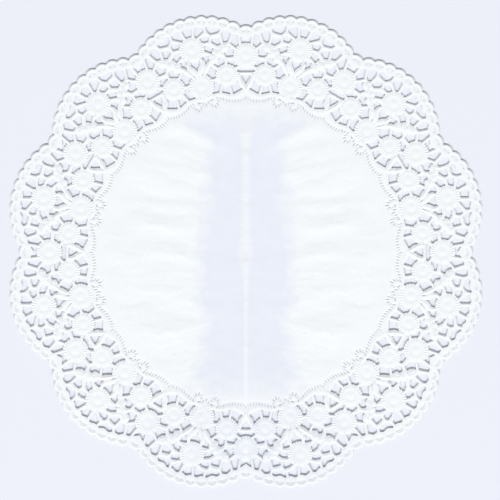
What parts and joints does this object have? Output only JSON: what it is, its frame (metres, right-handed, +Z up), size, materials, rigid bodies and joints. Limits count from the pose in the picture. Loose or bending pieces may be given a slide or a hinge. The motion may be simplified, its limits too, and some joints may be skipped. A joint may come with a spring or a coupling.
{
  "type": "paper doily",
  "caption": "Round white lace paper doily with a plain centre, a punched band of daisies, leaves and thin bars, a scalloped lobed edge and one soft crease across the middle.",
  "frame": {"origin": "on the table under the middle of the sheet, at the bottom centre of its box", "axes": "+Z up from the table towards the face that shows, +Y towards the top edge of the sheet and along the crease, +X to the right of the crease"},
  "size_m": [0.248, 0.248, 0.0027],
  "materials": {
    "paper": "matte"
  },
  "bodies": {
    "root": {"doily": "paper"}
  },
  "joints": []
}
